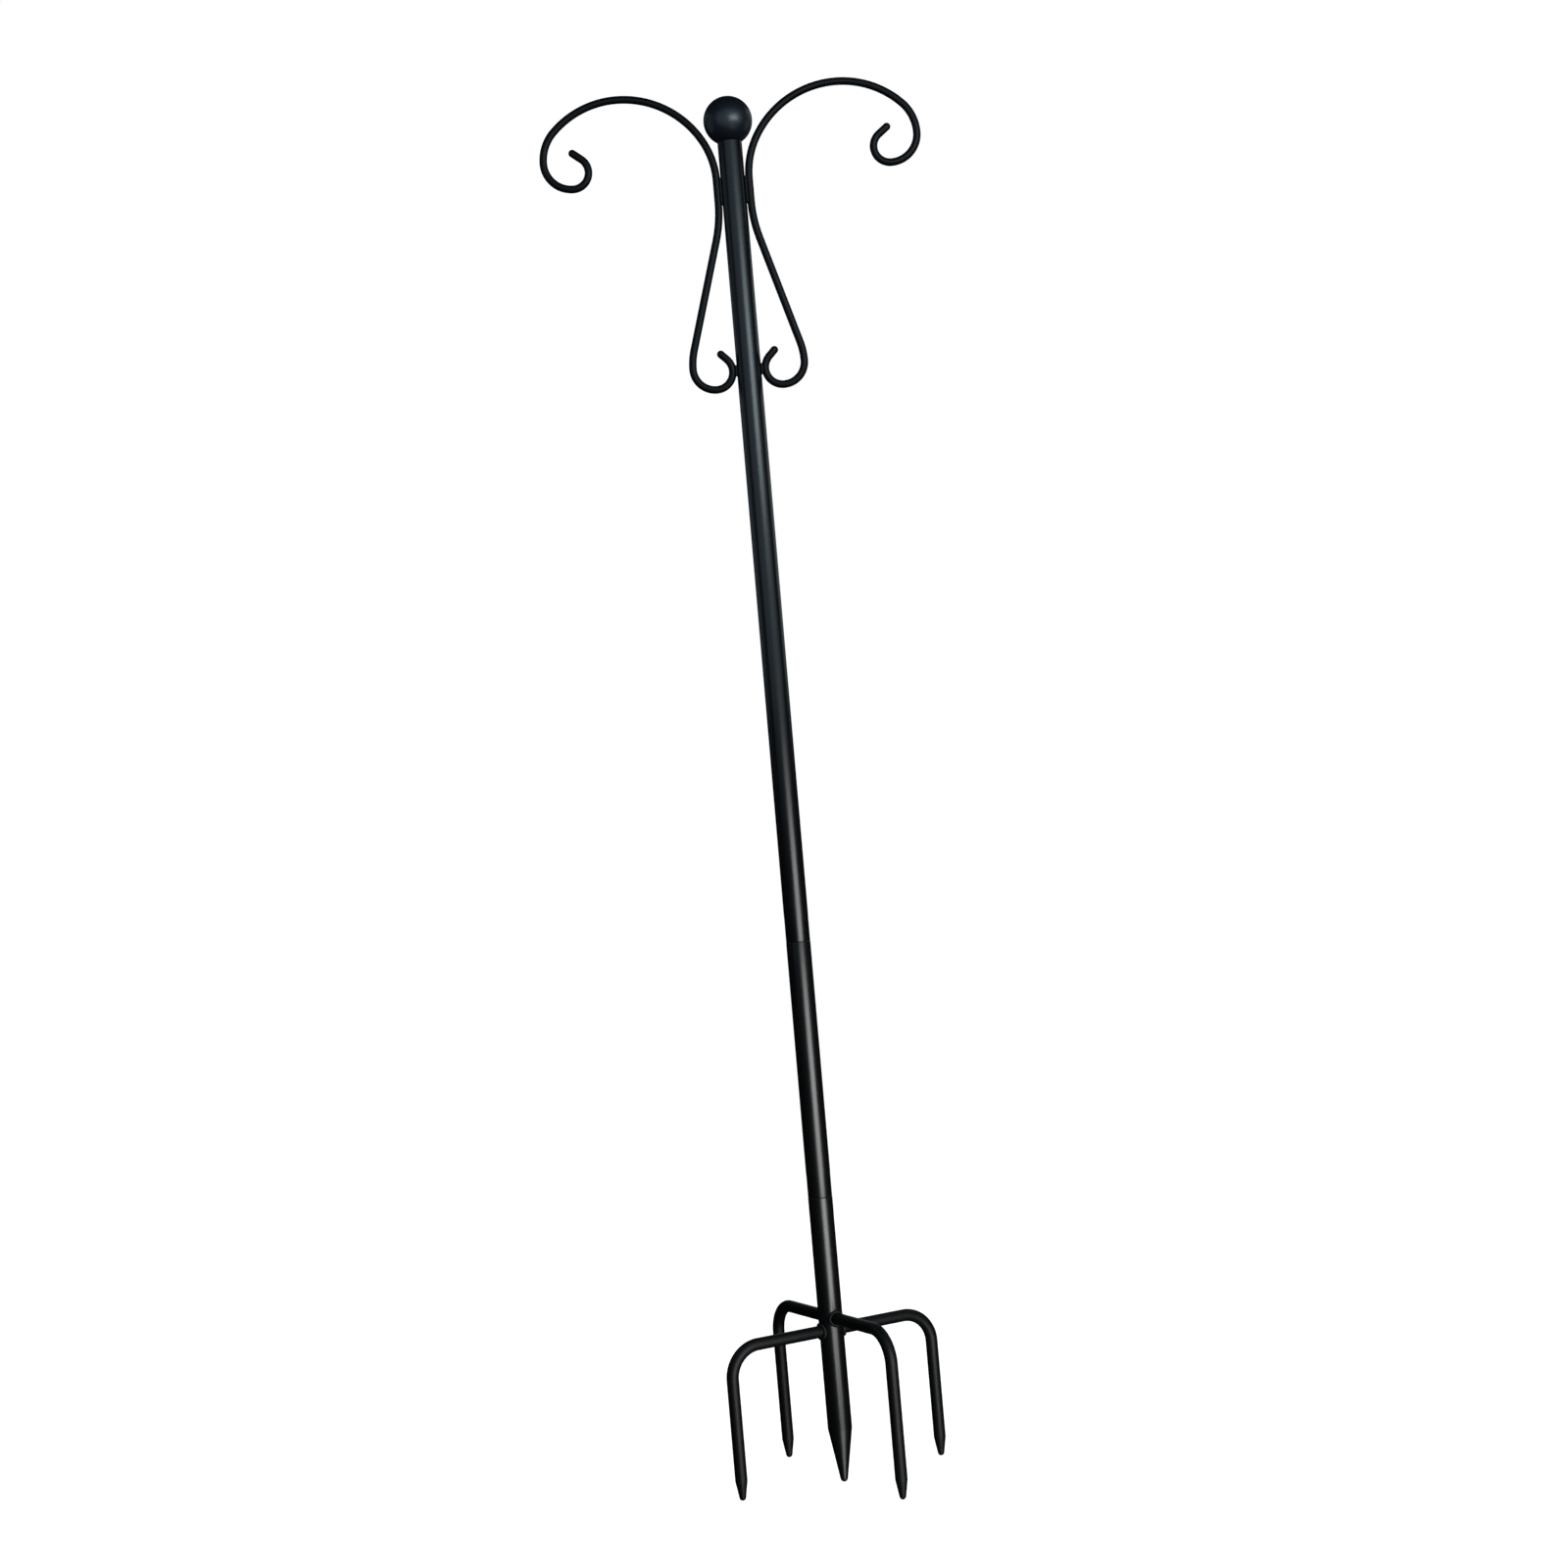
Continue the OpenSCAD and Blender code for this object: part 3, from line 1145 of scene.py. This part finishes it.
@dataclass
class Finial:
    """The ball, its threaded stud, and the insert in the tube's top that takes the thread.

    Attributes:
        ball_points: The points round the ball.
        ball_rings: The rings from the ball's seat to its top.
        seat_edge: The rounding on the ball's seat and hole.
        hole_spare: The space above the stud in the ball's hole.
        stud_clear: The clearance round the stud in the ball and the insert.
        pitch: The thread's pitch.
        thread_depth: The thread's depth.
        fullness: The width of the ridge's foot, as a share of the pitch.
        bite: How far the ridge runs into the core.
        steps_a_turn: The steps in one turn of the ridge.
        chamfer: The chamfer at each end of the stud's core.
        run_out: The plain length at each end of the stud.
        countersink: The chamfer at the insert's mouth.
    """

    ball_points: int = 96
    ball_rings: int = 56
    seat_edge: float = 0.12 * MM
    hole_spare: float = 0.3 * MM
    stud_clear: float = 0.05 * MM
    pitch: float = 1.25 * MM
    thread_depth: float = 0.62 * MM
    fullness: float = 0.92
    bite: float = 0.05 * MM
    steps_a_turn: int = 36
    chamfer: float = 0.4 * MM
    run_out: float = 0.9 * MM
    countersink: float = 0.5 * MM

    def __post_init__(self) -> None:
        """Finds the stud's size."""
        self.stud_low, self.stud_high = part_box("finial_stud")

    def build(self) -> None:
        """Builds and places the finial's pieces."""
        settle(self.ball(), Body.FINIAL, Look.BALL, "finial_ball")
        settle(self.stud(), Body.SCREW, Look.ZINC, "finial_stud")
        settle(self.insert(), Body.HEAD, Look.ZINC, "top_insert")

    def ball(self) -> Piece:
        """The ball with a flat seat and a blind hole for the stud.

        Returns:
            The ball.
        """
        low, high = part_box("finial_ball")
        radius = high.x
        centre = high.z - radius
        seat = math.degrees(math.asin((low.z - centre) / radius))
        hole = self.stud_high.x + self.stud_clear
        hole_top = self.stud_high.z + self.hole_spare
        bore = [(0.0, hole_top), (hole, hole_top), (hole, low.z)]
        dome = arc_outline(radius, centre, seat, 90.0, self.ball_rings)
        return turned("ball", bore + dome, self.seat_edge, self.ball_points)

    def stud(self) -> Piece:
        """A chamfered core with a helical ridge wound on it.

        Returns:
            The threaded stud.
        """
        root, low, high = self.stud_high.x - self.thread_depth, self.stud_low.z, self.stud_high.z
        end = root - self.chamfer
        core = turned("stud_core", [
            (0.0, low), (end, low), (root, low + self.chamfer),
            (root, high - self.chamfer), (end, high), (0.0, high),
        ])
        return join([core, self.ridge(low + self.run_out, high - self.run_out)], "threaded_stud")

    def ridge(self, start: float, end: float) -> Piece:
        """The thread's ridge: a three-sided tooth wound up round the stud.

        Args:
            start: The height of the ridge's first end.
            end: The height that it stays below.

        Returns:
            The ridge.
        """
        # An even triangle is 1.5 times as high as the radius of the circle round it.
        tooth = (self.thread_depth + self.bite) / 1.5
        centre = Vector((self.stud_high.x - tooth, 0, start))
        bpy.ops.object.select_all(action="DESELECT")
        bpy.ops.mesh.primitive_circle_add(
            vertices=3, radius=tooth, fill_type="NOTHING", location=centre,
            rotation=(QUARTER, QUARTER, 0),
        )
        piece = bpy.context.object
        bpy.ops.object.transform_apply()
        bpy.ops.object.mode_set(mode="EDIT")
        bpy.ops.mesh.select_all(action="SELECT")
        flank = self.fullness * self.pitch / (math.sqrt(3) * tooth)
        bpy.ops.transform.resize(value=(1, 1, flank), center_override=tuple(centre))
        bpy.ops.object.mode_set(mode="OBJECT")
        apply_modifier(piece, "SCREW", {
            "axis": "Z", "angle": math.tau, "screw_offset": self.pitch,
            "iterations": int((end - start) / self.pitch),
            "steps": self.steps_a_turn, "render_steps": self.steps_a_turn,
        })
        bpy.ops.object.mode_set(mode="EDIT")
        bpy.ops.mesh.select_all(action="SELECT")
        bpy.ops.mesh.fill_holes(sides=3)
        bpy.ops.mesh.select_all(action="SELECT")
        bpy.ops.mesh.normals_make_consistent(inside=False)
        bpy.ops.object.mode_set(mode="OBJECT")
        bpy.ops.object.shade_smooth_by_angle(angle=CREASE)
        return piece

    def insert(self) -> Piece:
        """The disc in the tube's top, with a countersunk hole.

        Returns:
            The insert.
        """
        low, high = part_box("top_insert")
        hole = self.stud_high.x + self.stud_clear
        section = [
            (hole, low.z), (high.x, low.z), (high.x, high.z), (hole + self.countersink, high.z),
            (hole, high.z - self.countersink), (hole, low.z),
        ]
        return turned("threaded_insert", section)


# ---- studio


COOL: Colour = (0.80, 0.95, 1.0)
SKY: Colour = (0.60, 0.80, 1.0)


@dataclass(frozen=True)
class Softbox:
    """A rectangular studio light.

    Attributes:
        name: The light's name.
        place: Where it hangs.
        aim: The point that it faces.
        width: Its width.
        height: Its height.
        glow: Its radiance at the widest beam, in watts per square metre and steradian.
        tint: Its colour.
        spread: The full angle of its beam in degrees.
    """

    name: str
    place: tuple[float, float, float]
    aim: tuple[float, float, float]
    width: float
    height: float
    glow: float
    tint: Colour = (1.0, 1.0, 1.0)
    spread: float = 180.0

    def hang(self) -> None:
        """Adds the light to the scene."""
        data = bpy.data.lights.new(self.name, "AREA")
        data.shape = "RECTANGLE"
        data.size, data.size_y = self.width, self.height
        data.energy = self.glow * math.pi * self.width * self.height
        data.spread = math.radians(self.spread)
        data.color = self.tint
        light = bpy.data.objects.new(self.name, data)
        bpy.context.scene.collection.objects.link(light)
        light.location = self.place
        light.rotation_euler = (Vector(self.aim) - Vector(self.place)).to_track_quat("-Z", "Y").to_euler()
        light.visible_camera = False


@dataclass
class Studio:
    """The pale floor, the lights and the camera.

    Attributes:
        distance: The camera's distance in front of the pole.
        eye: The camera's height above the ground line.
        aside: The camera's place across the pole.
        lens: Its focal length in millimetres on the sensor below.
        sensor: The sensor's width in millimetres.
        roll: The camera's turn about its own axis, in degrees.
        clip: The nearest and the farthest distance that the camera sees.
        floor_radius: The radius of the floor.
        floor_points: The points round the floor.
        fill: Brightness of the unseen room round the object.
        fill_tint: Its colour.
        lights: The softboxes.
    """

    distance: float = 2.808
    eye: float = 0.575
    aside: float = -0.0007
    lens: float = 62.08
    sensor: float = 36.0
    roll: float = -4.91
    clip: tuple[float, float] = (0.05, 60.0)
    floor_radius: float = 9.0
    floor_points: int = 128
    fill: float = 0.012
    fill_tint: Colour = (0.85, 0.93, 1.0)
    lights: tuple[Softbox, ...] = (
        Softbox("low_strip", (0.49, -0.93, -0.38), (0, 0, -0.38), 0.80, 1.76, 2.1, spread=90.0),
        Softbox("high_strip", (0.50, -0.92, 1.30), (0, 0, 1.25), 0.70, 0.36, 3.2, COOL, 120.0),
        Softbox("high_window", (0.12, -0.84, 1.32), (0, 0, 1.2), 3.2, 1.26, 0.7, SKY),
        Softbox("high_edge", (0.98, 0.69, 1.3), (0, 0, 1.2), 1.0, 1.15, 0.6, COOL),
        Softbox("high_left", (-1.15, 0.35, 1.3), (0, 0, 1.2), 1.4, 1.15, 0.35, SKY),
        Softbox("back_fill", (0.0, 1.7, 0.6), (0, 0, 0.55), 0.7, 1.9, 0.5),
    )

    def build(self) -> None:
        """Sets up everything round the object."""
        self.camera()
        self.floor()
        self.room()
        for light in self.lights:
            light.hang()

    def camera(self) -> None:
        """Adds the camera, level and rolled, and makes it the scene's own."""
        data = bpy.data.cameras.new("camera")
        data.sensor_width = self.sensor
        data.lens = self.lens
        data.clip_start, data.clip_end = self.clip
        camera = bpy.data.objects.new("camera", data)
        bpy.context.scene.collection.objects.link(camera)
        level = Matrix.Rotation(QUARTER, 4, "X") @ Matrix.Rotation(math.radians(self.roll), 4, "Z")
        camera.matrix_world = Matrix.Translation((self.aside, -self.distance, self.eye)) @ level
        bpy.context.scene.camera = camera

    def floor(self) -> None:
        """Adds the round floor that the stake's tip just meets."""
        bpy.ops.object.select_all(action="DESELECT")
        bpy.ops.mesh.primitive_circle_add(
            vertices=self.floor_points, radius=self.floor_radius, fill_type="NGON",
            location=(0, 0, CAD_BOX[0].z),
        )
        floor = bpy.context.object
        floor.name = "studio_floor"
        floor.data.materials.append(StudioPaper().material())
        floor.visible_diffuse = floor.visible_glossy = floor.visible_shadow = False

    def room(self) -> None:
        """Makes the background white to the camera and the unseen room dim."""
        world = bpy.data.worlds.new("room")
        bpy.context.scene.world = world
        sheet = NodeSheet(world)
        camera_ray = sheet.term("ShaderNodeLightPath", {}, {}, "Is Camera Ray")
        dim = {"Color": (*self.fill_tint, 1), "Strength": self.fill}
        unseen = sheet.term("ShaderNodeBackground", {}, dim)
        seen = sheet.term("ShaderNodeBackground", {}, {"Color": (1, 1, 1, 1)})
        mixed = sheet.term("ShaderNodeMixShader", {}, {0: camera_ray, 1: unseen, 2: seen})
        sheet.node("ShaderNodeOutputWorld", {}, {"Surface": mixed})
        bpy.context.scene.view_settings.view_transform = "Standard"


BLACK = (0.0012, 0.0014, 0.0016)
THIN_BLACK = (0.0022, 0.0025, 0.0029)
BALL_BLACK = (0.0060, 0.0074, 0.0110)
THIN_BALL_BLACK = (0.0085, 0.0105, 0.0150)

COATS: dict[Look, bpy.types.Material] = {
    Look.TUBE: PowderCoat(Look.TUBE.value, BLACK, THIN_BLACK).material(),
    Look.ROD: PowderCoat(Look.ROD.value, BLACK, THIN_BLACK, 0.46, 0.16).material(),
    Look.BEAD: PowderCoat(Look.BEAD.value, BLACK, THIN_BLACK, 0.42, 0.22).material(),
    Look.BALL: PowderCoat(Look.BALL.value, BALL_BLACK, THIN_BALL_BLACK, 0.36).material(),
    Look.ZINC: ZincPlate(Look.ZINC.value).material(),
}


def main() -> None:
    """Builds the object's sub-assemblies and the studio round them."""
    GroundBase().build()
    PoleTube("middle_tube", Body.MIDDLE).build()
    PoleTube("head_tube", Body.HEAD).build()
    TubeJoint("lower_connector", Body.LOWER_JOINT).build()
    TubeJoint("upper_connector", Body.UPPER_JOINT).build()
    ScrollHooks().build()
    Finial().build()
    Studio().build()


if __name__ == "__main__":
    logging.basicConfig(level=logging.INFO, format="%(message)s")
    main()
